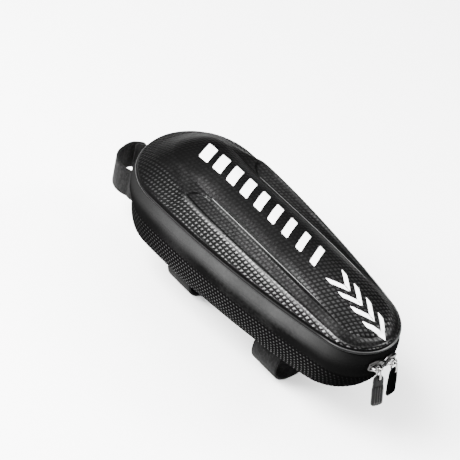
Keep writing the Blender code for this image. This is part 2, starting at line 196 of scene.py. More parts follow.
class Wire:
    """A socket in a shader's maths that takes Python's operators."""

    def __init__(self, graph: "Graph", socket: bpy.types.NodeSocket) -> None:
        """Wrap one output socket."""
        self.graph = graph
        self.socket = socket

    def maths(self, operation: str, *values: Number) -> "Wire":
        """One Math node over the given values, by Blender's name of its operation."""
        return self.graph.add("ShaderNodeMath", {"operation": operation}, dict(enumerate(values)))

    def __add__(self, other: Number) -> "Wire":
        """Sum."""
        return self.maths("ADD", self, other)

    def __sub__(self, other: Number) -> "Wire":
        """Difference."""
        return self.maths("SUBTRACT", self, other)

    def __rsub__(self, other: Number) -> "Wire":
        """Difference from a plain number."""
        return self.maths("SUBTRACT", other, self)

    def __mul__(self, other: Number) -> "Wire":
        """Product."""
        return self.maths("MULTIPLY", self, other)

    __radd__ = __add__
    __rmul__ = __mul__

    def cosine(self) -> "Wire":
        """Cosine, of radians."""
        return self.maths("COSINE", self)

    def at_least(self, low: float) -> "Wire":
        """The value, or low where it is less."""
        return self.maths("MAXIMUM", self, low)

    def about(self, middle: float, spread: float) -> "Wire":
        """A value round 0.5, brought to lie round middle."""
        return self * spread + (middle - spread / 2)

    def step(self, low: float, high: float) -> "Wire":
        """Smooth step from 0 at low to 1 at high."""
        inputs = {"Value": self, "From Min": low, "From Max": high}
        return self.graph.add("ShaderNodeMapRange", {"interpolation_type": "SMOOTHSTEP"}, inputs)


def grey(level: float, warm: float = 0.0) -> tuple[float, float, float, float]:
    """An opaque grey, a little warmer or cooler."""
    return (level * (1 + warm), level, level * (1 - warm), 1.0)


class Graph:
    """The node tree of one new material."""

    def __init__(self, name: str) -> None:
        """Make the material and keep its shader.

        Args:
            name: The material's name.
        """
        self.material = bpy.data.materials.new(name)
        self.material.use_nodes = True
        self.tree = self.material.node_tree
        self.shader = self.tree.nodes["Principled BSDF"]

    def plug(self, socket: bpy.types.NodeSocket, value: Any) -> None:
        """Link a wire to a socket, or set the socket's own value.

        Args:
            socket: The input socket.
            value: A wire, a number, a colour or a vector.
        """
        if isinstance(value, Wire):
            self.tree.links.new(value.socket, socket)
        else:
            socket.default_value = value

    def add(self, kind: str, settings: dict[str, Any], inputs: dict[Any, Any], output: Any = 0) -> Wire:
        """Add any node.

        Args:
            kind: Blender's node type.
            settings: Node properties, which are set first.
            inputs: Values or wires by socket name or number.
            output: Name or number of the output that is wanted.

        Returns:
            That output.
        """
        node = self.tree.nodes.new(kind)
        for name, value in settings.items():
            setattr(node, name, value)
        for name, value in inputs.items():
            self.plug(node.inputs[name], value)
        return Wire(self, node.outputs[output])

    def read(self, name: str, output: str) -> Wire:
        """A value that the mesh carries, as "Vector" or "Fac"."""
        return self.add("ShaderNodeAttribute", {"attribute_name": name}, {}, output)

    def place(self) -> Wire:
        """Position in the piece's own frame."""
        return self.add("ShaderNodeTexCoord", {}, {}, "Object")

    def part(self, vector: Wire, axis: int) -> Wire:
        """One component of a vector, by its number."""
        return self.add("ShaderNodeSeparateXYZ", {}, {0: vector}, axis)

    def stretch(self, vector: Wire, *factors: float) -> Wire:
        """A vector with each component times its own factor."""
        return self.add("ShaderNodeVectorMath", {"operation": "MULTIPLY"}, {0: vector, 1: factors})

    def noise(self, vector: Wire, pitch: float, detail: float = 2.0, rough: float = 0.5) -> Wire:
        """Cloudy noise round 0.5, with features of a pitch in metres and finer layers on them."""
        inputs = {"Vector": vector, "Scale": 1.0 / pitch, "Detail": detail, "Roughness": rough}
        return self.add("ShaderNodeTexNoise", {}, inputs, "Fac")

    def blend(self, share: Number, low: Any, high: Any) -> Wire:
        """Mix two colours by a share."""
        return self.add("ShaderNodeMix", {"data_type": "RGBA"}, {0: share, 6: low, 7: high}, 2)

    def shades(self, share: Wire, level: float, low: float, high: float) -> Wire:
        """A grey that goes from low to high times its level with a share."""
        return self.blend(share, grey(level * low), grey(level * high))

    def raised(self, height: Wire, depth: float) -> Wire:
        """A normal bumped by a relief, in which 1 stands for a depth in metres."""
        return self.add("ShaderNodeBump", {}, {"Height": height, "Distance": depth})

    def dress(self, **sockets: Any) -> Material:
        """Set the shader's sockets by name.

        Args:
            **sockets: Values or wires; an underscore stands for a space in a name.

        Returns:
            The material.
        """
        for name, value in sockets.items():
            self.plug(self.shader.inputs[name.replace("_", " ")], value)
        return self.material


@dataclass(frozen=True)
class Weave:
    """The pillows of a basket weave: pitch along a row, spacing of the rows and their stagger."""

    pitch: float = 3.2 * MM
    row: float = 3.0 * MM
    stagger: float = 0.36
    low: float = -0.80
    high: float = 0.40
    soft_high: float = 0.70

    def height(self, spot: Vector) -> float:
        """How far the weave stands out.

        Args:
            spot: A place on the flat cloth.

        Returns:
            A share from 0 to 1.
        """
        wave = math.cos(2 * math.pi * (spot.x - spot.y * self.stagger) / self.pitch)
        rise = math.cos(2 * math.pi * spot.y / self.row)
        return ease(self.low, self.soft_high, wave) * ease(self.low, self.soft_high, rise)

    def wire(self, g: Graph, cloth: Wire) -> Wire:
        """The same height as shader maths, with crisper gaps.

        Args:
            g: The material's nodes.
            cloth: The place on the flat cloth.

        Returns:
            A share from 0 to 1.
        """
        along, across = g.part(cloth, 0), g.part(cloth, 1)
        wave = ((along - across * self.stagger) * (2 * math.pi / self.pitch)).cosine()
        rise = (across * (2 * math.pi / self.row)).cosine()
        return wave.step(self.low, self.high) * rise.step(self.low, self.high)


@dataclass(frozen=True)
class EmbossedCloth:
    """Coated cloth pressed over foam: glossy pillows, and low-gloss gaps painted darker as shade."""

    name: str
    weave: Weave
    # Colour of the gaps, darker than the crests: painted shade between the pillows.
    colour: float = 0.0010
    crest: float = 0.0030
    # Lighter colour of the raised line: a painted highlight along it.
    painted_line_highlight: float = 0.10
    shine: float = 0.008
    gloss: float = 0.65
    smooth: float = 0.32
    gap: float = 0.06
    depth: float = 0.40 * MM
    roughness: float = 0.50
    gloss_roughness: float = 0.31
    grain: float = 0.35 * MM
    fibre: float = 1.3 * MM
    scuff: float = 3 * MM
    cloud: float = 16 * MM
    smooth_fleck: float = 4.6
    woven_fleck: float = 1.4

    def make(self) -> Material:
        """Build the material.

        Returns:
            The embossed cloth.
        """
        g = Graph(self.name)
        cloth, relief = g.read(CLOTH, "Vector"), g.read(RELIEF, "Fac")
        crest = self.weave.wire(g, cloth) * relief.at_least(0.0)
        grain = g.noise(cloth, self.grain, 3.0)
        fibres = g.noise(g.stretch(cloth, 1.0, 0.45, 0.0), self.fibre, 3.0, 0.6)
        fleck = self.smooth_fleck - relief * (self.smooth_fleck - self.woven_fleck)
        worn = g.noise(g.place(), self.cloud, 3.0) * 0.6 + 0.55
        # Painted shade: gaps and parts without relief take the darker colour, pillow crests the lighter
        # one.
        colour = g.blend(crest, grey(self.colour), grey(self.crest))
        top = crest * (1 - self.gap) + (1 - relief) * self.smooth + self.gap
        gloss = top * g.part(cloth, 2) * ((fibres - 0.5) * fleck + 1) * worn * self.gloss
        return g.dress(
            # Where the relief is negative, on the raised line, the colour is painted lighter as a
            # highlight.
            Base_Color=g.blend(relief.step(0.0, -0.5), colour, grey(self.painted_line_highlight)),
            Roughness=g.noise(cloth, self.scuff).about(self.roughness, 0.14),
            Normal=g.raised(crest + grain * 0.05, self.depth),
            Specular_IOR_Level=self.shine,
            Coat_Weight=gloss,
            Coat_Roughness=self.gloss_roughness,
        )


@dataclass(frozen=True)
class SatinCloth:
    """Smooth, tightly woven satin cloth, coated outside, with a low sheen and painted shade."""

    name: str
    colour: float = 0.010
    # Painted shade towards the cloth's foot, from the first height to the second.
    painted_shade_below: float = 0.0
    painted_shade_from: float = 4 * MM
    painted_shade_to: float = 16 * MM
    shine: float = 0.06
    thread: float = 0.34 * MM
    slub: float = 2.6 * MM
    cloud: float = 30 * MM
    depth: float = 0.015 * MM
    roughness: float = 0.50
    gloss: float = 0.0
    gloss_roughness: float = 0.30

    def make(self) -> Material:
        """Build the material.

        Returns:
            The satin cloth.
        """
        g = Graph(self.name)
        cloth = g.read(CLOTH, "Vector")
        # The third cloth value is a share of painted shade, which darkens the colour.
        along, across, painted_shade = (g.part(cloth, axis) for axis in range(3))
        twill = ((along + across) * (2 * math.pi / self.thread)).cosine() * 0.5 + 0.5
        slub = g.noise(cloth, self.slub, 4.0, 0.6)
        cloud = g.noise(g.place(), self.cloud, 2.0)
        shade = slub * 0.3 + cloud * 0.4 + 0.15
        # Painted shade: darker towards the foot of the cloth.
        shade = shade - across.step(self.painted_shade_from, self.painted_shade_to) * self.painted_shade_below
        return g.dress(
            Base_Color=g.shades(shade * (1 - painted_shade * 0.95), self.colour, 0.10, 1.90),
            Roughness=slub.about(self.roughness, 0.10),
            Normal=g.raised(twill * 0.5 + slub * 0.8, self.depth),
            Specular_IOR_Level=self.shine,
            Coat_Weight=(1 - painted_shade) * self.gloss,
            Coat_Roughness=self.gloss_roughness,
        )


@dataclass(frozen=True)
class LoopPile:
    """Hook-and-loop strap: short brushed loops over a woven ground."""

    name: str
    colour: float = 0.0010
    tip: float = 0.0075
    loop: float = 0.85 * MM
    tuft: float = 1.6 * MM
    depth: float = 0.5 * MM

    def make(self) -> Material:
        """Build the material.

        Returns:
            The loop pile.
        """
        g = Graph(self.name)
        spot = g.place()
        loops = g.noise(g.stretch(spot, 1.0, 0.22, 0.22), self.loop, 4.0, 0.65)
        pile = loops * 0.65 + g.noise(spot, self.tuft, 3.0) * 0.35
        return g.dress(
            Base_Color=g.blend(pile.step(0.42, 0.72), grey(self.colour), grey(self.tip)),
            Roughness=0.95,
            Normal=g.raised(pile, self.depth),
            Specular_IOR_Level=0.04,
            Sheen_Weight=0.015,
            Sheen_Roughness=0.6,
        )


@dataclass(frozen=True)
class Rubber:
    """Moulded rubber with a fine matt grain."""

    name: str
    colour: float = 0.0022
    roughness: float = 0.48
    grain: float = 0.4 * MM
    cloud: float = 6 * MM
    depth: float = 0.04 * MM
    shine: float = 0.06

    def make(self) -> Material:
        """Build the material.

        Returns:
            The rubber.
        """
        g = Graph(self.name)
        spot = g.place()
        grain = g.noise(spot, self.grain, 3.0)
        return g.dress(
            Base_Color=g.shades(g.noise(spot, self.cloud), self.colour, 0.8, 1.25),
            Roughness=grain.about(self.roughness, 0.16),
            Normal=g.raised(grain, self.depth),
            Specular_IOR_Level=self.shine,
        )


@dataclass(frozen=True)
class Nickel:
    """Polished nickel plate with faint rub marks."""

    name: str
    colour: float = 0.15
    roughness: float = 0.15
    rub: float = 1.1 * MM

    def make(self) -> Material:
        """Build the material.

        Returns:
            The nickel.
        """
        g = Graph(self.name)
        rub = g.noise(g.place(), self.rub, 4.0, 0.6)
        colour = g.blend(rub, grey(self.colour * 0.86, 0.01), grey(self.colour * 1.08, 0.02))
        return g.dress(Base_Color=colour, Metallic=1.0, Roughness=rub.about(self.roughness, 0.16))


@dataclass(frozen=True)
class ReflectivePrint:
    """Pale reflective film pressed into the cloth."""

    name: str
    colour: float = 0.78
    roughness: float = 0.35
    bead: float = 0.30 * MM
    cloud: float = 5 * MM
    depth: float = 0.05 * MM

    def make(self) -> Material:
        """Build the material.

        Returns:
            The film.
        """
        g = Graph(self.name)
        spot = g.place()
        bead = g.noise(spot, self.bead)
        return g.dress(
            Base_Color=g.shades(g.noise(spot, self.cloud, 3.0), self.colour, 0.90, 1.08),
            Roughness=bead.about(self.roughness, 0.2),
            Normal=g.raised(bead, self.depth),
        )


@dataclass(frozen=True)
class Paper:
    """Plain pale floor."""

    name: str = "floor_paper"
    colour: float = 0.86
    cloud: float = 0.5

    def make(self) -> Material:
        """Build the material.

        Returns:
            The paper.
        """
        g = Graph(self.name)
        colour = g.shades(g.noise(g.place(), self.cloud, 1.0), self.colour, 0.995, 1.005)
        return g.dress(Base_Color=colour, Roughness=0.95, Specular_IOR_Level=0.1)


@dataclass(frozen=True)
class Dot:
    """A point of a skin, with its place on the flat cloth and how far the weave stands out."""

    spot: Vector
    cloth: Vector = Vector((0.0, 0.0, 0.0))
    relief: float = 0.0


def join_rows(bm: Mesh, rows: list[list[bmesh.types.BMVert]], closed: bool, caps: bool) -> None:
    """Join loops of vertices into a surface.

    Args:
        bm: The mesh that holds them.
        rows: Loops of equal count.
        closed: Whether the last loop joins the first.
        caps: Whether the first and the last loop get a face.
    """
    for low, high in zip(rows, rows[1:] + rows[:1] if closed else rows[1:]):
        for i in range(len(low)):
            j = (i + 1) % len(low)
            bm.faces.new((low[i], low[j], high[j], high[i]))
    for row in (rows[0], rows[-1]) if caps else ():
        bm.faces.new(row)


def skin(rings: list[list[Dot]], closed: bool = False, caps: bool = False) -> Mesh:
    """Join rings of dots, which carry the cloth's layout.

    Args:
        rings: Rings of equal count.
        closed: Whether the last ring joins the first.
        caps: Whether the first and the last ring get a face.

    Returns:
        The new mesh.
    """
    bm = bmesh.new()
    cloth = bm.verts.layers.float_vector.new(CLOTH)
    relief = bm.verts.layers.float.new(RELIEF)
    rows = []
    for ring in rings:
        row = [bm.verts.new(dot.spot) for dot in ring]
        for vert, dot in zip(row, ring):
            vert[cloth], vert[relief] = dot.cloth, dot.relief
        rows.append(row)
    join_rows(bm, rows, closed, caps)
    return bm


def add_solid(bm: Mesh, rings: list[list[Vector]], closed: bool = False) -> None:
    """Add a solid of rings of points, round on itself or with a face at each end."""
    join_rows(bm, [[bm.verts.new(point) for point in ring] for ring in rings], closed, not closed)


def finish_mesh(name: str, bm: Mesh, material: Material, sharp: float = 50.0) -> Piece:
    """Weld a bmesh, turn its faces outwards and make it a piece.

    Args:
        name: The piece's name.
        bm: The mesh, which is freed.
        material: Its material.
        sharp: Angle in degrees above which an edge stays sharp.

    Returns:
        The new piece.
    """
    bmesh.ops.remove_doubles(bm, verts=bm.verts, dist=WELD)
    bmesh.ops.dissolve_degenerate(bm, edges=bm.edges, dist=WELD / 10)
    bmesh.ops.recalc_face_normals(bm, faces=bm.faces)
    mesh = bpy.data.meshes.new(name)
    bm.to_mesh(mesh)
    bm.free()
    mesh.materials.append(material)
    mesh.shade_smooth()
    mesh.set_sharp_from_angle(angle=math.radians(sharp))
    piece = bpy.data.objects.new(name, mesh)
    bpy.context.scene.collection.objects.link(piece)
    return piece


def add_rod(
    bm: Mesh,
    path: list[Vector],
    radius: float,
    across: Vector,
    sides: int = 16,
    closed: bool = False,
    flat: float = 1.0,
) -> None:
    """Add a rod along a flat path to a bmesh.

    Args:
        bm: The mesh to add to.
        path: The rod's middle line.
        radius: Its radius in the path's plane.
        across: Normal of the path's plane.
        sides: Number of sides.
        closed: Whether the rod is a ring.
        flat: Its radius out of the plane, as a share of the radius.
    """
    rings = []
    for i, point in enumerate(path):
        before = path[i - 1] if closed or i else point
        after = path[(i + 1) % len(path)] if closed or i + 1 < len(path) else point
        side = (after - before).normalized().cross(across)
        ring = []
        for k in range(sides):
            turn = 2 * math.pi * k / sides
            out = side * math.cos(turn) + across * (math.sin(turn) * flat)
            ring.append(point + out * radius)
        rings.append(ring)
    add_solid(bm, rings, closed)


def place_piece(piece: Piece, body: str, slot: Slot, *nodes: str) -> Piece:
    """Tie a piece to its body, and let it stand for its nodes.

    Args:
        piece: The finished piece.
        body: The body that it rides on.
        slot: The record's slot for the piece; not used.
        *nodes: The nodes that it replaces.

    Returns:
        The piece.
    """
    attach(piece, body)
    if nodes:
        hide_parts(*nodes)
    return piece


@dataclass(frozen=True)
class Place:
    """A place on the outline: its station, point, outward direction and run along the outline."""

    station: float
    spot: Vector
    out: Vector
    run: float


@dataclass(frozen=True)
class Outline:
    """The egg that the bag shows from above: four arcs."""

    length: float = 235 * MM
    front_radius: float = 46.4 * MM
    rear_radius: float = 31.0 * MM
    side_radius: float = 709 * MM
    front_steps: int = 108
    side_steps: int = 310
    rear_steps: int = 82

    def places(self) -> list[Place]:
        """Walk from the front round the near side to the rear and back.

        Returns:
            The places in order.
        """
        front = -self.length / 2 + self.front_radius
        rear = self.length / 2 - self.rear_radius
        to_front = self.side_radius - self.front_radius
        to_rear = self.side_radius - self.rear_radius
        across = (to_front**2 - to_rear**2 + (rear - front) ** 2) / (2 * (rear - front))
        side = Vector((front + across, -math.sqrt(to_front**2 - across**2)))
        first = math.atan2(-side.y, front - side.x)
        last = math.atan2(-side.y, rear - side.x)
        arcs = (
            (Vector((front, 0.0)), self.front_radius, math.pi, first, self.front_steps),
            (side, self.side_radius, first, last, self.side_steps),
            (Vector((rear, 0.0)), self.rear_radius, last, 0.0, self.rear_steps),
        )
        half = []
        for centre, radius, start, end, steps in arcs:
            for i in range(steps):
                turn = start + (end - start) * i / steps
                out = Vector((math.cos(turn), math.sin(turn)))
                half.append((centre + out * radius, out))
        half[0] = (Vector((-self.length / 2, 0.0)), Vector((-1.0, 0.0)))
        half.append((Vector((self.length / 2, 0.0)), Vector((1.0, 0.0))))
        loop = [(Vector((p.x, -p.y)), Vector((n.x, -n.y))) for p, n in half] + half[-2:0:-1]
        places, run = [], 0.0
        for i, (spot, out) in enumerate(loop):
            if i:
                run += (spot - loop[i - 1][0]).length
            places.append(Place(spot.x / self.length + 0.5, spot, out, run))
        return places

    def inset(self, place: Place, step: float, height: float) -> Vector:
        """The point a step inside a place, at a height."""
        return Vector((place.spot.x - place.out.x * step, place.spot.y - place.out.y * step, height))


@dataclass
class Lid:
    """The moulded lid: woven flanks up to a crease, a sunk strip, a raised line and a crown."""

    outline: Outline
    cloth: Material
    seam: float = 49.2 * MM
    rise: float = 23.5 * MM
    wall: float = 2.5 * MM
    lip_height: float = 1.3 * MM
    lip_draft: float = 0.3 * MM
    strip_depth: float = 1.4 * MM
    line_rise: float = 0.50 * MM
    line_half: float = 0.28 * MM
    crease_roll: float = 0.45 * MM
    notch_lag: float = 0.055
    swell: float = 0.30
    weave_depth: float = 0.34 * MM
    weave: Weave = Weave()
    puff: float = 0.7
    ridge_polish: float = 1.6
    smoothing: int = 9
    rolled_below: int = 7
    rolled_above: int = 3
    flank_rows: int = 32
    strip_rows: int = 17
    crown_rows: int = 17
    line_rows: tuple[float, ...] = (0.15 * MM, 0.32 * MM, 0.52 * MM, 0.78 * MM, 1.2 * MM)

    CREASE = Table(
        (0.000, 0.270, 0.362),
        (0.045, 0.254, 0.404),
        (0.080, 0.316, 0.511),
        (0.170, 0.400, 0.596),
        (0.245, 0.323, 0.604),
        (0.290, 0.226, 0.590),
        (0.360, 0.202, 0.549),
        (0.450, 0.191, 0.506),
        (0.615, 0.166, 0.404),
        (0.777, 0.114, 0.277),
        (0.887, 0.060, 0.136),
        (0.960, 0.039, 0.085),
        (1.000, 0.039, 0.085),
    )
    LINE = Table(
        (0.000, 0.473, 0.620),
        (0.080, 0.516, 0.723),
        (0.170, 0.538, 0.745),
        (0.245, 0.527, 0.690),
        (0.290, 0.523, 0.621),
        (0.360, 0.512, 0.587),
        (0.450, 0.490, 0.570),
        (0.615, 0.413, 0.536),
        (0.777, 0.305, 0.470),
        (0.849, 0.247, 0.404),
        (0.917, 0.194, 0.289),
        (1.000, 0.151, 0.179),
    )
    SPINE = Table(
        (0.200, 0.915),
        (0.310, 0.990),
        (0.480, 0.950),
        (0.666, 0.834),
        (0.836, 0.604),
        (0.890, 0.489),
        (0.930, 0.390),
    )
    STRIP = Table((0.0, 0.0), (0.279, 0.0), (0.290, 1.0), (0.7, 1.0), (0.9, 0.0), (1.0, 0.0))
    CROWN = Table((0.0, 0.0), (0.20, 0.40), (0.43, 0.70), (0.72, 0.93), (0.88, 0.985), (1.0, 1.0))

    def crease(self, station: float) -> tuple[float, float]:
        """Inset and height of the crease at a station."""
        inset = self.outline.front_radius * self.CREASE.at(station, 0)
        return inset, self.rise * self.CREASE.at(station, 1)

    def line(self, station: float) -> tuple[float, float]:
        """Inset and height of the raised line at a station, without its bead."""
        inset = self.outline.front_radius * self.LINE.at(station, 0)
        return inset, self.rise * self.LINE.at(station, 1)

    def strip_at(self, station: float, share: float) -> float:
        """How deep the strip is sunk at a share of its width; its front wall curves back."""
        sunk = self.STRIP.at(station - self.notch_lag * share**3)
        return sunk * ease(0.06, 0.20, share) * ease(0.97, 0.86, share)

    def handled(self, place: Place) -> float:
        """How much a place is worn by the rider's hands: from 1 on the near side to 0."""
        return ease(0.3, -0.3, place.out.y)

    def ridge(self, place: Place) -> float:
        """How much glossier the crease is than the flank: not at all on the far side."""
        grown = 0.65 * ease(0.28, 0.66, place.station) + 0.5 * ease(0.72, 0.88, place.station)
        return self.ridge_polish * (0.35 + grown) * self.handled(place)

    def nose(self, station: float) -> float:
        """How much glossier the lid is where it rolls over at its rear end."""
        return 1.5 * ease(0.90, 0.97, station)

    def softening(self, station: float) -> float:
        """Share of the flank from which its weave softens towards the crease."""
        return 0.66 - 0.44 * ease(0.40, 0.75, station)

    def strip_polish(self, station: float) -> float:
        """How glossy the strip is: less and less towards the rear."""
        return 1.40 - 0.75 * ease(0.50, 0.72, station) - 0.45 * ease(0.70, 0.84, station)

    def crown_relief(self, station: float) -> float:
        """How far the weave stands out on the crown: most towards the rear."""
        return 0.30 + 0.50 * ease(0.58, 0.85, station) - 0.10 * ease(0.30, 0.22, station)

    def crown_polish(self, station: float) -> float:
        """How glossy the crown is: least in the middle, under the print."""
        return 0.11 + 0.48 * ease(0.60, 0.85, station) + 0.36 * ease(0.40, 0.24, station)

    def flank(self, place: Place) -> Profile:
        """The woven flank at a place, from the lip to just below the crease.

        Args:
            place: The place on the outline.

        Returns:
            Its points, with their relief and polish.
        """
        c_in, c_up = self.crease(place.station)
        soft = self.softening(place.station)
        points = []
        for i in range(self.flank_rows):
            t = (i + 0.5) / self.flank_rows
            step = self.lip_draft + (c_in - self.lip_draft) * t
            climb = (t + self.swell * t * (1 - t)) * c_up + self.lip_height * (1 - t) ** 3
            relief = ease(0.0, 0.08, t) * (1 - 0.55 * ease(soft, 1.0, t))
            spot = self.outline.inset(place, step, self.seam + climb)
            polish = ease(0.02, 0.10, t) * (0.5 + 0.5 * self.handled(place))
            points.append((spot, relief, polish + self.ridge(place) * ease(soft, 0.96, t)))
        return points

    def strip(self, place: Place) -> Profile:
        """The sunk strip at a place, from the crease to just outside the raised line.

        Args:
            place: The place on the outline.

        Returns:
            Its points, with their relief and polish.
        """
        station = place.station
        c_in, c_up = self.crease(station)
        l_in, l_up = self.line(station)
        width, fade = l_in - c_in, self.STRIP.at(station)
        lined = self.STRIP.at(station - self.notch_lag)
        near = [1 - away / width for away in reversed(self.line_rows)]
        points = []
        for t in [near[0] * i / self.strip_rows for i in range(self.strip_rows)] + near:
            sunk = self.strip_depth * self.strip_at(station, t)
            roll = self.crease_roll * bump(0.0, 1.2 * MM, width * t) * (0.35 + 0.65 * fade)
            line = lined * bump(1.0, self.line_half / width, t)
            climb = c_up + (l_up - c_up) * t - sunk + roll + self.line_rise * line
            relief = (0.42 - 0.15 * ease(0.30, 0.22, station)) * (1 - line)
            relief *= 0.4 + 0.6 * ease(0.0, 0.16, t)
            polish = self.strip_polish(station) * (1 - 0.8 * lined * ease(0.78, 0.90, t))
            polish *= 0.5 + 0.5 * self.handled(place)
            polish += self.ridge(place) * ease(0.10, 0.0, t) + 0.8 * line
            polish += self.nose(station) * ease(0.30, 0.80, t)
            depth = self.strip_at(station, t)
            polish *= 1 - 4 * depth * (1 - depth) * fade * ease(0.36, 0.34, station)
            # A negative relief marks the raised line for its painted highlight.
            relief -= 0.5 * line
            spot = self.outline.inset(place, c_in + width * t, self.seam + climb)
            points.append((spot, relief, polish))
        return points

    def peak(self, edge: Vector) -> Vector:
        """The point of the crown's ridge that a point of the raised line runs up to.

        Args:
            edge: The point of the raised line.

        Returns:
            The point above the bag's middle.
        """
        start, end = self.SPINE.keys[0], self.SPINE.keys[-1]
        middle = min(max(edge.x / self.outline.length + 0.5, start), end)
        height = self.seam + self.rise * self.SPINE.at(middle)
        return Vector(((middle - 0.5) * self.outline.length, 0.0, height))

    def crown(self, place: Place) -> Profile:
        """The crown at a place, from the raised line to the middle.

        Args:
            place: The place on the outline.

        Returns:
            Its points, with their relief and polish.
        """
        station = place.station
        l_in, l_up = self.line(station)
        edge = self.outline.inset(place, l_in, self.seam + l_up)
        peak = self.peak(edge)
        reach = (peak - edge).to_2d().length
        near = [0.0] + [away / reach for away in self.line_rows]
        last = near[-1]
        rest = [last + (1 - last) * (i + 1) / self.crown_rows for i in range(self.crown_rows)]
        flat, plain = self.crown_relief(station), self.crown_polish(station)
        points = []
        for t in near + rest:
            line = self.STRIP.at(station - self.notch_lag) * bump(0.0, self.line_half / reach, t)
            z = edge.z + (peak.z - edge.z) * self.CROWN.at(t) + self.line_rise * line
            spot = Vector((edge.x + (peak.x - edge.x) * t, edge.y * (1 - t), z))
            glint = self.nose(station) * ease(0.45, 0.0, t)
            # A negative relief marks the raised line for its painted highlight.
            points.append((spot, flat * (1 - line) - 0.5 * line, plain + 1.1 * line + glint))
        return points

    def worn(self, spot: Vector) -> float:
        """How glossy the cloth is: duller at the front, most of all on the far side.

        Args:
            spot: A point of the lid.

        Returns:
            A share from 0 to 1.
        """
        station = spot.x / self.outline.length + 0.5
        far = ease(-5 * MM, 10 * MM, spot.y)
        least = 0.09 - 0.06 * far
        return least + (1 - least) * ease(0.14 + 0.10 * far, 0.52 - 0.16 * far, station)

    def rows(self, place: Place) -> Profile:
        """The whole outer side of the lid at a place, with its crease rounded over.

        Args:
            place: The place on the outline.

        Returns:
            Its points, with their relief and polish.
        """
        # The seam and lip points carry no relief or polish, so they take the darker gap colour: painted
        # shade under the lid's edge.
        lip = self.outline.inset(place, self.lip_draft * 0.4, self.seam + self.lip_height * 0.6)
        points = [(self.outline.inset(place, 0.0, self.seam), 0.0, 0.0), (lip, 0.0, 0.0)]
        points += self.flank(place)
        crease = len(points)
        points += self.strip(place)
        for _ in range(self.smoothing):
            for i in range(crease - self.rolled_below, crease + self.rolled_above):
                blend = (points[i - 1][0] + points[i][0] * 2 + points[i + 1][0]) / 4
                points[i] = (blend, *points[i][1:])
        return points + self.crown(place)

    def inner_rows(self, place: Place) -> list[Vector]:
        """The inner side of the lid at a place, from its middle to its lip.

        Args:
            place: The place on the outline.

        Returns:
            Its points.
        """
        wall = self.wall
        c_in, c_up = self.crease(place.station)
        l_in, l_up = self.line(place.station)
        marks = (
            (l_in, l_up, 6),
            ((c_in + l_in) / 2 + 0.4 * wall, (c_up + l_up) / 2, 4),
            (c_in + 0.8 * wall, c_up, 3),
            (0.5 * c_in + wall, 0.6 * c_up, 2),
            (self.lip_draft + wall, self.lip_height, 1),
        )
        spots = []
        for step, up, least in marks:
            height = self.seam + max(up - wall, least * GAP)
            spots.append(self.outline.inset(place, step, height))
        edge = spots[0]
        peak = self.peak(edge) - Vector((0.0, 0.0, wall))
        points = []
        for t in (1.0, 0.72, 0.43, 0.20, 0.0):
            z = edge.z + (peak.z - edge.z) * self.CROWN.at(t)
            points.append(Vector((edge.x + (peak.x - edge.x) * t, edge.y * (1 - t), z)))
        return points + spots[1:] + [self.outline.inset(place, wall, self.seam)]

    def build(self) -> Piece:
        """Make the lid, with the pillows of its weave raised where the relief is strong.

        Returns:
            The lid.
        """
        columns = []
        for place in self.outline.places():
            outer = self.rows(place)
            peak = outer[-1][0]
            way = (outer[0][0] - peak).to_2d().normalized()
            away = Vector((place.out.x, place.out.y, self.puff)).normalized()
            gone, dots, last = 0.0, [], peak
            for spot, relief, polish in reversed(outer):
                gone += (spot - last).length
                shine = polish * self.worn(spot)
                cloth = Vector((peak.x + way.x * gone, way.y * gone, shine))
                lift = self.weave_depth * ease(0.55, 1.0, relief) * (self.weave.height(cloth) - 0.5)
                dots.append(Dot(spot + away * lift, cloth, relief))
                last = spot
            inner = [Dot(spot, Vector((spot.x, spot.y, 0.0))) for spot in self.inner_rows(place)]
            columns.append(inner + dots[::-1])
        lid = finish_mesh("lid", skin([list(ring) for ring in zip(*columns)]), self.cloth)
        return place_piece(lid, "bag", Slot.SHELL, "lid_shell")


@dataclass(frozen=True)
class Stripe:
    """A stripe of the print: place along the bag, width, reach to each side, slant and bend."""

    x: float
    width: float
    reach: float
    slant: float = 0.0
    bend: float = 0.0


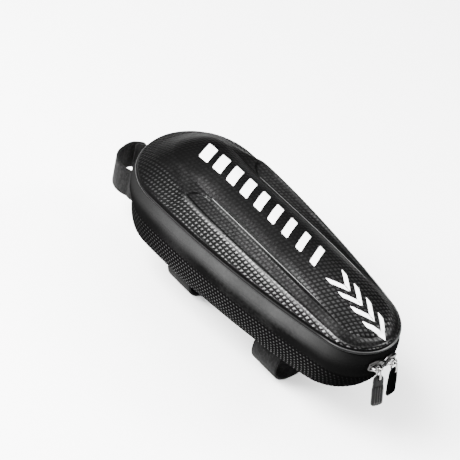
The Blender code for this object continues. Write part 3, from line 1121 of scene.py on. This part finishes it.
@dataclass
class Emblem:
    """Reflective bars and chevrons along the middle of the lid, laid over its surface."""

    lid: Piece
    film: Material
    lift: float = 0.15 * MM
    under: float = 0.03 * MM
    rows: int = 34
    lanes: int = 5
    reach: float = 8.0 * MM
    corner: float = 0.6 * MM
    corner_cut: float = 0.45 * MM
    drop_from: float = 0.2
    slant: float = 0.42
    first_bar: float = -70.0 * MM
    bar_pitch: float = 14.2 * MM
    bar_count: int = 9
    widest: float = 9.0 * MM
    narrowest: float = 5.0 * MM
    first_tip: float = 74.5 * MM
    tip_pitch: float = 12.4 * MM
    tip_count: int = 4
    tip_reach: float = 7.6 * MM
    tip_width: float = 5.4 * MM
    tip_slope: float = 1.55

    def stripes(self) -> list[Stripe]:
        """The bars, which get narrower towards the rear, and the chevrons behind them.

        Returns:
            All stripes from the front to the rear.
        """
        made = []
        for i in range(self.bar_count):
            width = self.widest + (self.narrowest - self.widest) * i / (self.bar_count - 1)
            x = self.first_bar + i * self.bar_pitch
            made.append(Stripe(x, width, self.reach, slant=self.slant))
        for i in range(self.tip_count):
            x = self.first_tip + i * self.tip_pitch
            made.append(Stripe(x, self.tip_width, self.tip_reach, bend=self.tip_slope))
        return made

    def rings(self, stripe: Stripe, tree: BVHTree) -> list[list[Vector]]:
        """Lay one stripe over the lid.

        Args:
            stripe: The stripe.
            tree: The lid's surface.

        Returns:
            Its section at each place across the bag.
        """
        rings = []
        for i in range(self.rows + 1):
            y = stripe.reach * (2 * i / self.rows - 1)
            cut = (ease(stripe.reach, stripe.reach - self.corner, abs(y)) - 1) * self.corner_cut
            middle = stripe.x - stripe.slant * y - stripe.bend * abs(y)
            tops, feet = [], []
            for k in range(self.lanes + 1):
                x = middle + (k / self.lanes - 0.5) * (stripe.width + 2 * cut)
                hit, normal, _, _ = tree.ray_cast(Vector((x, y, self.drop_from)), DOWN)
                if normal.z < 0:
                    normal = -normal
                tops.append(hit + normal * self.lift)
                feet.append(hit + normal * self.under)
            rings.append(tops + feet[::-1])
        return rings

    def build(self) -> Piece:
        """Make the print.

        Returns:
            The print.
        """
        lid = self.lid.data
        tree = BVHTree.FromPolygons([v.co for v in lid.vertices], [p.vertices for p in lid.polygons])
        bm = bmesh.new()
        for stripe in self.stripes():
            add_solid(bm, self.rings(stripe, tree))
        film = finish_mesh("reflective_print", bm, self.film, 35.0)
        return place_piece(film, "bag", Slot.SHELL)


@dataclass
class Piping:
    """The round bead between the lid and the band."""

    outline: Outline
    cloth: Material
    height: float = 47.8 * MM
    radius: float = 1.1 * MM
    sides: int = 12
    lit_turn: float = math.radians(70)
    lit_half: float = 0.6

    def build(self) -> Piece:
        """Make the bead: a painted highlight and gloss on top at its rear, painted shade elsewhere.

        Returns:
            The bead.
        """
        rings = []
        for k in range(self.sides):
            turn = 2 * math.pi * k / self.sides
            out, up = self.radius * math.cos(turn), self.radius * math.sin(turn)
            ring = []
            for place in self.outline.places():
                # Painted highlight on top at the rear end; elsewhere the colour is painted darker as
                # shade.
                lit = ease(0.85, 0.97, place.station) * bump(self.lit_turn, self.lit_half, turn)
                cloth = Vector((place.run, self.radius * turn, 1 - lit))
                ring.append(Dot(self.outline.inset(place, -out, self.height + up), cloth))
            rings.append(ring)
        bead = finish_mesh("edge_piping", skin(rings, closed=True), self.cloth, 80.0)
        return place_piece(bead, "bag", Slot.TRIM, "piping")


@dataclass
class Band:
    """The soft band that carries the zip, with the covered zip as a fine double seam."""

    outline: Outline
    cloth: Material
    top: float = 46.4 * MM
    depth: float = 21.9 * MM
    bulge: float = 3.2 * MM
    wall: float = 1.4 * MM
    zip_drop: float = 8.5 * MM
    zip_half: float = 2.6 * MM
    zip_rise: float = 0.12 * MM
    slit: float = 0.20 * MM
    slit_half: float = 0.35 * MM
    rows: int = 44
    inner_rows: int = 6

    SECTION = Table((0.0, 0.10), (0.14, 0.60), (0.40, 1.0), (0.70, 0.88), (0.92, 0.42), (1.0, 0.12))
    BULGE = Table((0.0, 1.0), (0.15, 0.85), (0.4, 0.62), (0.8, 0.62), (1.0, 0.72))

    def painted_shade(self, station: float) -> float:
        """How much painted shade darkens the band towards its two ends."""
        return max(ease(0.50, 0.06, station) * 0.85, ease(0.80, 0.98, station))

    def out(self, station: float, share: float) -> float:
        """How far the band stands out of the outline at a share of its depth."""
        return self.bulge * self.BULGE.at(station) * self.SECTION.at(share)

    def build(self) -> Piece:
        """Make the band: its outer side from the top down, then its inner side back up.

        Returns:
            The band.
        """
        places = self.outline.places()
        rings = []
        for i in range(self.rows + 1):
            share = i / self.rows
            drop = share * self.depth
            tape = ease(self.zip_half, self.zip_half - 0.5 * MM, abs(drop - self.zip_drop))
            slit = bump(self.zip_drop, self.slit_half, drop)
            extra = self.zip_rise * tape * 0.5 - self.slit * slit
            ring = []
            for place in places:
                step = -self.out(place.station, share) - extra
                spot = self.outline.inset(place, step, self.top - drop)
                # The third cloth value carries the painted shade of the ends.
                ring.append(Dot(spot, Vector((place.run, drop, self.painted_shade(place.station))), slit))
            rings.append(ring)
        for i in range(self.inner_rows + 1):
            share = 1 - i / self.inner_rows
            drop = share * self.depth
            ring = []
            for place in places:
                step = self.wall - self.out(place.station, share)
                spot = self.outline.inset(place, step, self.top - drop)
                ring.append(Dot(spot, Vector((place.run, drop, 0.0))))
            rings.append(ring)
        band = finish_mesh("band_with_zip", skin(rings, closed=True), self.cloth)
        return place_piece(band, "bag", Slot.BAND, "zip_band")


@dataclass
class Tray:
    """The moulded tray under the band, with a rounded foot and a flat underside."""

    outline: Outline
    cloth: Material
    depth: float = 24.2 * MM
    wall: float = 2.2 * MM
    front_draft: float = 3.0 * MM
    side_draft: float = 4.2 * MM
    rear_draft: float = 13.0 * MM
    weave_depth: float = 0.24 * MM
    weave: Weave = Weave(2.95 * MM, 2.9 * MM, 0.5)
    rows: int = 40
    inner_rows: int = 8
    crowding: float = 1.25
    foot: float = 0.97

    SECTION = Table(
        (0.00, 0.00), (0.30, 0.12), (0.60, 0.38), (0.80, 0.66), (0.92, 0.90), (0.98, 1.14), (1.00, 1.45)
    )

    def drawn(self, place: Place, inset: float, share: float, height: float) -> Vector:
        """A point of the wall, drawn in towards the foot.

        Args:
            place: The place on the outline.
            inset: How far it lies inside the outline.
            share: How much of the draft has been reached.
            height: Its height.

        Returns:
            The point.
        """
        front, rear = self.front_draft * share, self.rear_draft * share
        length = self.outline.length
        spot = self.outline.inset(place, inset, height)
        along = spot.x / length + 0.5
        x = -length / 2 + front + along * (length - front - rear)
        y = spot.y * (1 - self.side_draft * share / self.outline.front_radius)
        return Vector((x, y, height))

    def polish(self, station: float) -> float:
        """How glossy the cloth is along the tray: less towards its two ends."""
        return (0.20 + 0.80 * ease(0.10, 0.42, station)) * (1 - 0.97 * ease(0.84, 0.96, station))

    def build(self) -> Piece:
        """Make the tray: its inner side from the floor up, then its outer side back down.

        Returns:
            The tray.
        """
        places = self.outline.places()
        rings = []
        for i in range(self.inner_rows + 1):
            rise = i / self.inner_rows
            share = self.SECTION.at(1 - rise)
            height = self.wall + (self.depth - self.wall) * rise
            spots = [self.drawn(place, self.wall, share, height) for place in places]
            rings.append([Dot(spot, Vector((spot.x, spot.y, 0.0))) for spot in spots])
        gone = [0.0] * len(places)
        last: list[Vector] = []
        for i in range(self.rows + 1):
            drop = 1 - (1 - i / self.rows) ** self.crowding
            share = self.SECTION.at(drop)
            relief = ease(0.0, 0.04, drop) * ease(1.0, 0.95, drop)
            spots = [self.drawn(place, 0.0, share, self.depth * (1 - drop)) for place in places]
            dots = []
            for k, (place, spot) in enumerate(zip(places, spots)):
                if last:
                    gone[k] += (spot - last[k]).length
                cloth = Vector((place.run, gone[k], self.polish(place.station)))
                lift = self.weave_depth * relief * (self.weave.height(cloth) - 1.0)
                dots.append(Dot(spot + place.out.to_3d() * lift, cloth, relief))
            rings.append(dots)
            last = spots
        flat = [Vector((spot.x, spot.y, 0.0)) for spot in last]
        rings.append([Dot(Vector((s.x * self.foot, s.y * self.foot, 0.0)), s) for s in flat])
        tray = finish_mesh("tray", skin(rings, caps=True), self.cloth)
        return place_piece(tray, "bag", Slot.TRAY, "base_shell")


@dataclass
class Straps:
    """The hook-and-loop straps and the webbing keepers that two of them pass through."""

    pile: Material
    webbing: Material
    tube_radius: float = 19.5 * MM
    head_radius: float = 15.0 * MM
    width: float = 25 * MM
    thickness: float = 2.0 * MM
    mid_x: float = -52.5 * MM
    rear_x: float = 41.5 * MM
    front_x: float = -117.5 * MM
    front_height: float = 2.5 * MM
    keeper_width: float = 18 * MM
    keeper_thickness: float = 1.2 * MM
    keeper_foot: float = 5.5 * MM
    ends: tuple[int, int] = (-60, 325)
    fold: float = 0.35 * MM
    steps: int = 154
    seat_angle: float = 90.0
    seat_reach: float = 62.0
    lap_angle: float = 262.0
    blend_angle: float = 34.0
    corner: float = 0.7 * MM

    def path(self, radius: float, seat: float) -> list[Vector]:
        """A strap's middle line, seen along the tube that it goes round.

        Args:
            radius: The tube's radius.
            seat: Distance from the tube's middle to the strap on its flat seat.

        Returns:
            The line's points.
        """
        lean = radius + GAP + self.thickness / 2
        points = []
        for i in range(self.steps + 1):
            angle = self.ends[0] + (self.ends[1] - self.ends[0]) * i / self.steps
            off = abs(angle - self.seat_angle)
            blend = ease(self.seat_reach, self.seat_reach - self.blend_angle, off)
            lift = min(max((angle - self.lap_angle) / self.blend_angle, 0.0), 1.0)
            away = lean + lift * (self.thickness + GAP)
            if blend:
                away += (seat / math.cos(math.radians(off)) - away) * blend
            turn = math.radians(angle)
            points.append(Vector((away * math.cos(turn), away * math.sin(turn))))
        return points

    def section(self) -> list[tuple[float, float]]:
        """The strap's flat section with rounded edges.

        Returns:
            Places across its thickness and its width.
        """
        thick, wide = self.thickness / 2 - self.corner, self.width / 2 - self.corner
        marks = []
        for n, (sign_t, sign_w) in enumerate(((1, 1), (-1, 1), (-1, -1), (1, -1))):
            for k in range(4):
                turn = math.pi / 2 * (n + k / 3)
                t = sign_t * thick + self.corner * math.cos(turn)
                marks.append((t, sign_w * wide + self.corner * math.sin(turn)))
        return marks

    def strap(
        self, name: str, path: list[Vector], put: Callable[[float, float, float], Vector]
    ) -> Piece:
        """Sweep the strap's section along its path, a little narrower at its ends.

        Args:
            name: The piece's name.
            path: Its middle line.
            put: Turns a point of the path and a place across the width into a point.

        Returns:
            The strap.
        """
        marks = self.section()
        rings = []
        for i, point in enumerate(path):
            before, after = path[max(i - 1, 0)], path[min(i + 1, len(path) - 1)]
            along = (after - before).normalized()
            out = Vector((along.y, -along.x))
            end = min(i, len(path) - 1 - i)
            trim = 1.0 - 0.12 * max(0.0, 1 - end / 3) ** 2
            rings.append([put(point.x + out.x * t, point.y + out.y * t, w * trim) for t, w in marks])
        bm = bmesh.new()
        add_solid(bm, rings)
        strap = finish_mesh(f"{name}_hook_strap", bm, self.pile, 60.0)
        return place_piece(strap, "bag", Slot.WEBBING, f"{name}_strap")

    def keeper(self, name: str, x: float) -> Piece:
        """The webbing bridge that a strap passes through, with rounded folds.

        Args:
            name: The strap's name.
            x: Its place along the bag.

        Returns:
            The keeper.
        """
        inner = self.width / 2 + 2 * GAP
        outer = inner + self.keeper_foot
        roof = -(2 * GAP + self.thickness)
        floor = roof - self.keeper_thickness
        legs = [(-outer, -GAP), (-outer, floor), (outer, floor), (outer, -GAP)]
        legs += [(inner, -GAP), (inner, roof), (-inner, roof), (-inner, -GAP)]
        rings = []
        for y in (-self.keeper_width / 2, self.keeper_width / 2):
            rings.append([Vector((x + u, y, w)) for u, w in legs])
        bm = bmesh.new()
        add_solid(bm, rings)
        edges = list(bm.edges)
        bmesh.ops.bevel(bm, geom=edges, offset=self.fold, segments=3, affect="EDGES", profile=0.5)
        piece = finish_mesh(f"{name}_webbing_keeper", bm, self.webbing, 60.0)
        return place_piece(piece, "bag", Slot.WEBBING, f"{name}_keeper")

    def build(self) -> list[Piece]:
        """Make the straps and keepers.

        Returns:
            All five pieces.
        """
        made = []
        seat = self.tube_radius + GAP + self.keeper_thickness + GAP + self.thickness / 2
        centre = -(GAP + self.thickness / 2 + seat)
        path = self.path(self.tube_radius, seat)
        for name, x in (("mid", self.mid_x), ("rear", self.rear_x)):
            made.append(self.strap(name, path, lambda u, v, w, x=x: Vector((x + w, u, centre + v))))
            made.append(self.keeper(name, x))
        seat = self.head_radius + GAP + self.thickness / 2
        middle = self.front_x - GAP - self.thickness / 2 - seat
        path, height = self.path(self.head_radius, seat), self.front_height
        made.append(self.strap("front", path, lambda u, v, w: Vector((middle + v, u, height + w))))
        return made


@dataclass
class ZipPull:
    """One zip slider with its ring and ribbed grip."""

    plate: Material
    wire: Material
    rubber: Material
    side: Side
    angle: float
    lean: float
    rear_radius: float = 31.0 * MM
    rear_centre: float = 86.5 * MM
    stand: float = 2.45 * MM
    height: float = 37.9 * MM
    length: float = 11.2 * MM
    depth: float = 8.4 * MM
    thickness: float = 2.4 * MM
    reach: float = 2.95 * MM
    span: float = 6.4 * MM
    rod: float = 0.8 * MM
    rod_flat: float = 1.2
    shoulder: float = 0.45
    foot: float = 0.6
    bridge_steps: int = 24
    ring_steps: int = 20
    grip_rows: int = 60
    grip_lanes: int = 30
    ring_rod: float = 0.65 * MM
    ring_top: float = 1.7 * MM
    ring_foot: float = 2.2 * MM
    ring_drop: float = 4.2 * MM
    tab_length: float = 22.5 * MM
    tab_width: float = 8.8 * MM
    tab_thickness: float = 2.2 * MM
    eye_radius: float = 1.25 * MM
    rim: float = 1.3 * MM
    ribs: int = 4
    rib_width: float = 1.1 * MM
    rib_pitch: float = 1.85 * MM
    rib_rise: float = 0.4 * MM
    rib_top: float = 8.0 * MM
    rib_foot: float = 2.2 * MM

    def frame_at(self) -> Matrix:
        """The slider's own frame: X out of the bag, Y along the zip, Z up.

        Returns:
            The frame.
        """
        turn = math.radians(self.angle)
        away = self.rear_radius + self.stand
        spot = Vector((self.rear_centre + away * math.cos(turn), away * math.sin(turn), self.height))
        return Matrix.Translation(spot) @ Matrix.Rotation(turn, 4, "Z")

    def hang_at(self) -> Matrix:
        """The frame that the ring and the grip hang in."""
        bridge = Matrix.Translation((self.thickness + self.reach, 0.0, 0.0))
        return self.frame_at() @ bridge @ Matrix.Rotation(-math.radians(self.lean), 4, "Y")

    def slider(self) -> Piece:
        """The slider's plate, which tapers towards the closed end of the zip.

        Returns:
            The plate.
        """
        sign = -1.0 if self.side is Side.NEAR else 1.0
        half, high = self.length / 2, self.depth / 2
        corners = ((-1.0, -0.62), (-0.62, -1.0), (0.2, -1.0), (1.0, -0.62))
        corners += tuple((y, -z) for y, z in reversed(corners))
        shape = [(y * half * sign, z * high) for y, z in corners]
        rings = []
        for rise, size in ((0.0, 0.90), (0.12, 1.0), (0.62, 1.0), (0.88, 0.93), (1.0, 0.80)):
            rings.append([Vector((rise * self.thickness, y * size, z * size)) for y, z in shape])
        bm = bmesh.new()
        add_solid(bm, rings)
        bm.transform(self.frame_at())
        piece = finish_mesh(f"zip_slider_{self.side.value}", bm, self.plate, 35.0)
        return place_piece(piece, "bag", Slot.METAL, f"slider_{self.side.value}")

    def bridge(self) -> Piece:
        """The squarish bridge on the slider that holds the ring.

        Returns:
            The bridge.
        """
        root = self.thickness / 2
        path = []
        for i in range(self.bridge_steps + 1):
            turn = math.pi * i / self.bridge_steps
            lift = root + (root + self.reach) * abs(math.sin(turn)) ** self.shoulder
            side = math.copysign(abs(math.cos(turn)) ** self.foot, math.cos(turn))
            path.append(Vector((lift, -side * self.span / 2, 0.0)))
        bm = bmesh.new()
        add_rod(bm, path, self.rod, Vector((0, 0, 1)), flat=self.rod_flat)
        bm.transform(self.frame_at())
        piece = finish_mesh(f"zip_bridge_{self.side.value}", bm, self.wire, 60.0)
        return place_piece(piece, "bag", Slot.METAL)

    def ring(self) -> Piece:
        """The wire ring between the bridge and the grip.

        Returns:
            The ring.
        """
        path = []
        for radius, drop in ((self.ring_top, 0.0), (-self.ring_foot, self.ring_drop)):
            for i in range(self.ring_steps + 1):
                turn = math.pi * i / self.ring_steps
                path.append(Vector((radius * math.cos(turn), 0.0, radius * math.sin(turn) - drop)))
        bm = bmesh.new()
        add_rod(bm, path, self.ring_rod, Vector((0, 1, 0)), closed=True)
        bm.transform(self.hang_at())
        side = self.side.value
        piece = finish_mesh(f"zip_ring_{side}", bm, self.wire, 80.0)
        return place_piece(piece, f"pull_{side}", Slot.METAL, f"pull_ring_{side}")

    def half_width(self, drop: float) -> float:
        """Half the grip's width.

        Args:
            drop: How far below its top.

        Returns:
            The half width there.
        """
        half = self.tab_width / 2
        neck = 0.88 * half
        width = neck + (half - neck) * ease(1.6 * neck, 2.8 * neck, drop)
        crown = math.sqrt(max(0.0, 1 - (1 - min(drop / neck, 1.0)) ** 2))
        rest = self.tab_length - drop
        foot = math.sqrt(max(0.0, 1 - (1 - min(rest / (0.5 * half), 1.0)) ** 2))
        return width * min(0.35 + 0.65 * crown, 0.55 + 0.45 * foot)

    def face(self, drop: float) -> list[tuple[float, float]]:
        """The grip's ribbed face across its width.

        Args:
            drop: How far below its top.

        Returns:
            Places across it, with how far the face stands out there.
        """
        rest = self.tab_length - drop
        half = self.half_width(drop)
        edge = min(ease(0.0, 1.0 * MM, drop), ease(0.0, 1.0 * MM, rest))
        ribbed = ease(self.rib_top - 0.4 * MM, self.rib_top + 0.3 * MM, drop)
        ribbed *= ease(self.rib_foot - 0.4 * MM, self.rib_foot + 0.3 * MM, rest)
        middles = [(n - (self.ribs - 1) / 2) * self.rib_pitch for n in range(self.ribs)]
        points = []
        for k in range(self.grip_lanes + 1):
            y = half * math.sin(math.pi * (k / self.grip_lanes - 0.5))
            rib = max(ease(0.62, 0.38, abs(y - middle) / self.rib_width) for middle in middles)
            thick = 0.45 + 0.55 * math.sqrt(max(0.0, 1 - (abs(y) / half) ** 6))
            thick *= self.tab_thickness / 2 * (0.6 + 0.4 * edge)
            points.append((y, thick + self.rib_rise * rib * ribbed))
        return points

    def grip(self) -> Piece:
        """The ribbed rubber grip, with an eye drilled for the ring.

        Returns:
            The grip.
        """
        eye = 0.1 * MM - self.ring_drop - self.ring_foot
        top = eye + self.eye_radius + self.rim
        rings = []
        for i in range(self.grip_rows + 1):
            drop = self.tab_length * i / self.grip_rows
            front = self.face(drop)
            back = [(y, -x) for y, x in reversed(front)]
            rings.append([Vector((x, y, top - drop)) for y, x in front + back])
        bm = bmesh.new()
        add_solid(bm, rings)
        side = self.side.value
        grip = finish_mesh(f"zip_grip_{side}", bm, self.rubber, 45.0)
        drill = bmesh.new()
        hole = [Vector((x * self.tab_thickness, 0.0, eye)) for x in (-1.5, 1.5)]
        add_rod(drill, hole, self.eye_radius, Vector((0, 1, 0)), sides=28)
        cutter = finish_mesh("eye_drill", drill, self.rubber)
        cut = grip.modifiers.new("eye", "BOOLEAN")
        cut.operation, cut.solver, cut.object = "DIFFERENCE", "EXACT", cutter
        graph = bpy.context.evaluated_depsgraph_get()
        mesh = bpy.data.meshes.new_from_object(grip.evaluated_get(graph))
        grip.modifiers.clear()
        grip.data = mesh
        bpy.data.objects.remove(cutter, do_unlink=True)
        mesh.transform(self.hang_at())
        mesh.set_sharp_from_angle(angle=math.radians(45.0))
        return place_piece(grip, f"pull_{side}", Slot.RUBBER, f"pull_tab_{side}")

    def build(self) -> list[Piece]:
        """Make the slider, its bridge, the ring and the grip."""
        return [self.slider(), self.bridge(), self.ring(), self.grip()]


@dataclass
class Studio:
    """Pale floor, soft lights and the camera."""

    floor_height: float
    target: Vector
    lens: float = 114.2
    sensor: float = 36.0
    camera_spot: Vector = Vector((0.4446, -0.5915, 0.7209))
    right: Vector = Vector((0.6454, 0.7408, 0.1861))
    up: Vector = Vector((-0.6065, 0.3488, 0.7145))
    room: float = 0.16
    floor_reach: float = 6.0

    LIGHTS = (
        ("key", (-0.50, -0.68, 0.53), 1.2, 0.56, 55.0),
        ("ridge", (-0.29, -0.50, 0.80), 1.3, 0.60, 74.0),
        ("ridge_end", (0.02, -0.50, 0.84), 1.3, 0.42, 34.0),
        ("crown", (-0.34, 0.0, 0.90), 1.5, 0.75, 20.0),
        ("far", (-0.36, 0.46, 0.78), 1.8, 1.6, 30.0),
        ("tail", (0.52, 0.57, 0.63), 1.4, 0.42, 34.0),
        ("top", (0.15, 0.25, 1.0), 1.6, 1.0, 20.0),
    )

    def camera(self) -> None:
        """The camera at the photograph's angle."""
        back = self.right.cross(self.up).normalized()
        right = self.up.cross(back).normalized()
        up = back.cross(right)
        turn = Matrix((right, up, back)).transposed()
        data = bpy.data.cameras.new("camera")
        data.lens, data.sensor_width = self.lens, self.sensor
        data.clip_start, data.clip_end = 0.01, 50.0
        eye = bpy.data.objects.new("camera", data)
        eye.matrix_world = Matrix.Translation(self.camera_spot) @ turn.to_4x4()
        bpy.context.scene.collection.objects.link(eye)
        bpy.context.scene.camera = eye

    def floor(self) -> None:
        """A wide pale floor under the bag."""
        bm = bmesh.new()
        bmesh.ops.create_grid(bm, x_segments=8, y_segments=8, size=self.floor_reach)
        bmesh.ops.translate(bm, verts=bm.verts, vec=(0.0, 0.0, self.floor_height))
        floor = finish_mesh("floor", bm, Paper().make())
        floor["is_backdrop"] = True

    def softbox(self, name: str, way: Vector, away: float, size: float, power: float) -> None:
        """A square soft light that looks at the bag.

        Args:
            name: The light's name.
            way: Direction from the bag to the light.
            away: Its distance.
            size: Its side.
            power: Its power in watts.
        """
        data = bpy.data.lights.new(name, "AREA")
        data.shape, data.size, data.energy = "SQUARE", size, power
        lamp = bpy.data.objects.new(name, data)
        lamp.location = self.target + way.normalized() * away
        lamp.rotation_euler = (-way).to_track_quat("-Z", "Y").to_euler()
        bpy.context.scene.collection.objects.link(lamp)

    def lights(self) -> None:
        """A dim white room and soft lights, each named for the part that it lights."""
        world = bpy.data.worlds.new("room")
        bpy.context.scene.world = world
        world.use_nodes = True
        back = world.node_tree.nodes["Background"]
        back.inputs["Color"].default_value = grey(1.0)
        back.inputs["Strength"].default_value = self.room
        for name, way, away, size, power in self.LIGHTS:
            self.softbox(name, Vector(way), away, size, power)

    def build(self) -> None:
        """Set everything up."""
        self.camera()
        self.floor()
        self.lights()


def report(*pieces: Piece) -> None:
    """Log each piece with its number of faces."""
    for piece in pieces:
        LOG.info("%s: %d faces", piece.name, len(piece.data.polygons))


def main() -> None:
    """Build the bag's looks piece by piece."""
    logging.basicConfig(level=logging.INFO, format="%(message)s")
    cad_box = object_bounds()
    outline = Outline()
    shell = EmbossedCloth("embossed_shell", Weave()).make()
    fine_weave = Weave(2.95 * MM, 2.9 * MM, 0.5, 0.0, 0.95)
    tray_cloth = EmbossedCloth(
        "embossed_tray", fine_weave, shine=0.0, gloss=0.45, smooth=0.0, gap=0.02
    ).make()
    # The band's colour holds painted shade at its foot and towards its ends.
    satin = SatinCloth("satin_band", colour=0.019, painted_shade_below=0.50, shine=0.0).make()
    bead = SatinCloth("piping_cloth", colour=0.008, shine=0.04, roughness=0.40, gloss=0.9).make()
    pile = LoopPile("loop_pile").make()
    webbing = SatinCloth(
        "keeper_webbing", colour=0.008, thread=1.2 * MM, depth=0.12 * MM, roughness=0.8
    ).make()
    # Painted shade: the slider plate is the wire's nickel painted far darker, for dark reflections on
    # it.
    plate = Nickel("painted_dark_slider_nickel", colour=0.018, roughness=0.19).make()
    wire = Nickel("polished_nickel", colour=0.20).make()
    # Lit and shaded copies of one rubber: the near grip is painted lighter, the far grip darker.
    rubber = Rubber("painted_shade_ribbed_rubber", colour=0.0008, shine=0.0).make()
    painted_light_rubber = Rubber("painted_light_ribbed_rubber", colour=0.0012, roughness=0.38, shine=0.08).make()
    film = ReflectivePrint("reflective_film").make()

    lid = Lid(outline, shell).build()
    report(lid, Emblem(lid, film).build())
    report(Piping(outline, bead).build(), Band(outline, satin).build())
    report(Tray(outline, tray_cloth).build(), *Straps(pile, webbing).build())
    report(*ZipPull(plate, wire, painted_light_rubber, Side.NEAR, -15.5, 20.0).build())
    report(*ZipPull(plate, wire, rubber, Side.FAR, 4.5, 11.0).build())

    low, high = cad_box
    Studio(floor_height=low.z - 0.5 * MM, target=(low + high) / 2).build()


if __name__ == "__main__":
    main()
